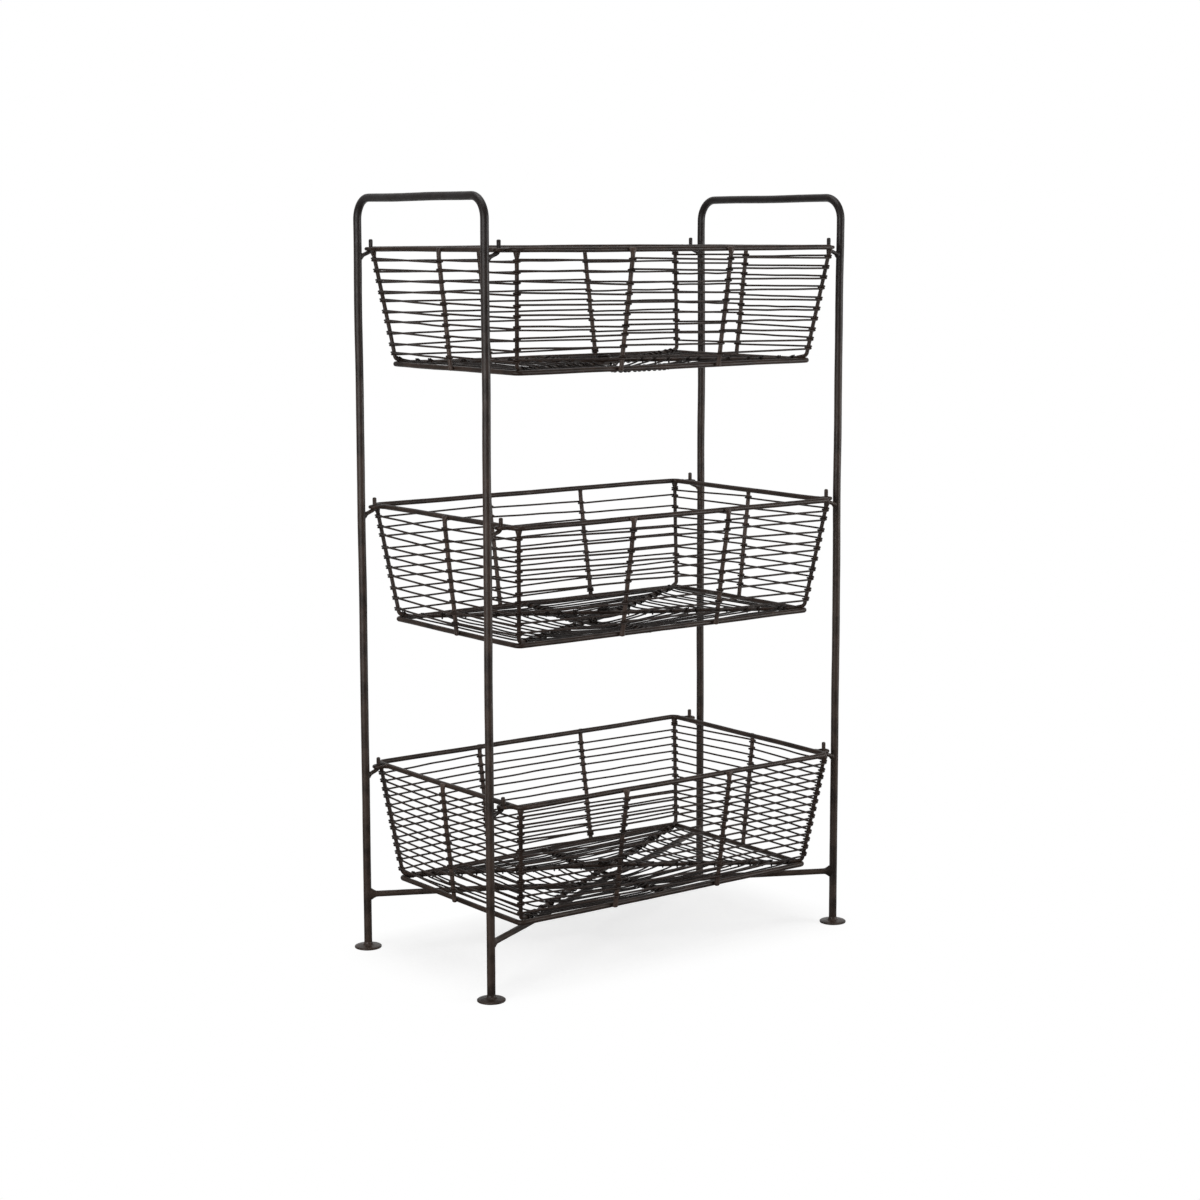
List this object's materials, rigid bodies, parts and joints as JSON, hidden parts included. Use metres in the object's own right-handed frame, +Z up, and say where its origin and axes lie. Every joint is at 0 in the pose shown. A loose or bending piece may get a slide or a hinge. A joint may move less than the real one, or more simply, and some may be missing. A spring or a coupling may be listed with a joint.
{
  "type": "three-tier wire basket stand",
  "caption": "Free-standing iron stand with bent-bar end frames and lift-off wire baskets hung on hooks one above another.",
  "frame": {"origin": "on the floor, in the middle of the four feet", "axes": "+X along the long side to the right, +Y to the rear, +Z up"},
  "size_m": [0.5192, 0.2975, 0.8499],
  "materials": {
    "stand_iron": "dark brown-black lacquered iron bar, satin",
    "basket_iron": "dark brown lacquered iron rod, satin, with rubbed welds",
    "wire_iron": "dark brown lacquered iron wire, hand wound"
  },
  "bodies": {
    "stand": {"end_frame_left": "stand_iron", "end_frame_right": "stand_iron", "foot_front_left": "stand_iron", "foot_front_right": "stand_iron", "foot_rear_left": "stand_iron", "foot_rear_right": "stand_iron", "hook_bottom_front_left": "stand_iron", "hook_bottom_front_right": "stand_iron", "hook_bottom_rear_left": "stand_iron", "hook_bottom_rear_right": "stand_iron", "hook_middle_front_left": "stand_iron", "hook_middle_front_right": "stand_iron", "hook_middle_rear_left": "stand_iron", "hook_middle_rear_right": "stand_iron", "hook_top_front_left": "stand_iron", "hook_top_front_right": "stand_iron", "hook_top_rear_left": "stand_iron", "hook_top_rear_right": "stand_iron", "brace_rod_upper": "stand_iron", "brace_rod_lower": "stand_iron", "brace_bolt": "stand_iron"},
    "bottom_basket": {"bottom_rim": "basket_iron", "bottom_floor_frame": "basket_iron", "bottom_corner_rib_lower": "basket_iron", "bottom_corner_rib_upper": "basket_iron", "bottom_floor_crossbar": "basket_iron", "bottom_upright_front_left": "basket_iron", "bottom_upright_front_right": "basket_iron", "bottom_upright_rear_left": "basket_iron", "bottom_upright_rear_right": "basket_iron", "bottom_upright_left": "basket_iron", "bottom_upright_right": "basket_iron", "bottom_side_wire": "wire_iron", "bottom_floor_wire": "wire_iron"},
    "middle_basket": {"middle_rim": "basket_iron", "middle_floor_frame": "basket_iron", "middle_corner_rib_lower": "basket_iron", "middle_corner_rib_upper": "basket_iron", "middle_floor_crossbar": "basket_iron", "middle_upright_front_left": "basket_iron", "middle_upright_front_right": "basket_iron", "middle_upright_rear_left": "basket_iron", "middle_upright_rear_right": "basket_iron", "middle_upright_left": "basket_iron", "middle_upright_right": "basket_iron", "middle_side_wire": "wire_iron", "middle_floor_wire": "wire_iron"},
    "top_basket": {"top_rim": "basket_iron", "top_floor_frame": "basket_iron", "top_corner_rib_lower": "basket_iron", "top_corner_rib_upper": "basket_iron", "top_floor_crossbar": "basket_iron", "top_upright_front_left": "basket_iron", "top_upright_front_right": "basket_iron", "top_upright_rear_left": "basket_iron", "top_upright_rear_right": "basket_iron", "top_upright_left": "basket_iron", "top_upright_right": "basket_iron", "top_side_wire": "wire_iron", "top_floor_wire": "wire_iron"}
  },
  "joints": [
    {"name": "bottom_basket_lift", "type": "slide", "parent": "stand", "child": "bottom_basket", "axis": [0, 0, 1], "range_m": [0, 0.15]},
    {"name": "middle_basket_lift", "type": "slide", "parent": "stand", "child": "middle_basket", "axis": [0, 0, 1], "range_m": [0, 0.14]},
    {"name": "top_basket_lift", "type": "slide", "parent": "stand", "child": "top_basket", "axis": [0, 0, 1], "range_m": [0, 0.2]}
  ]
}
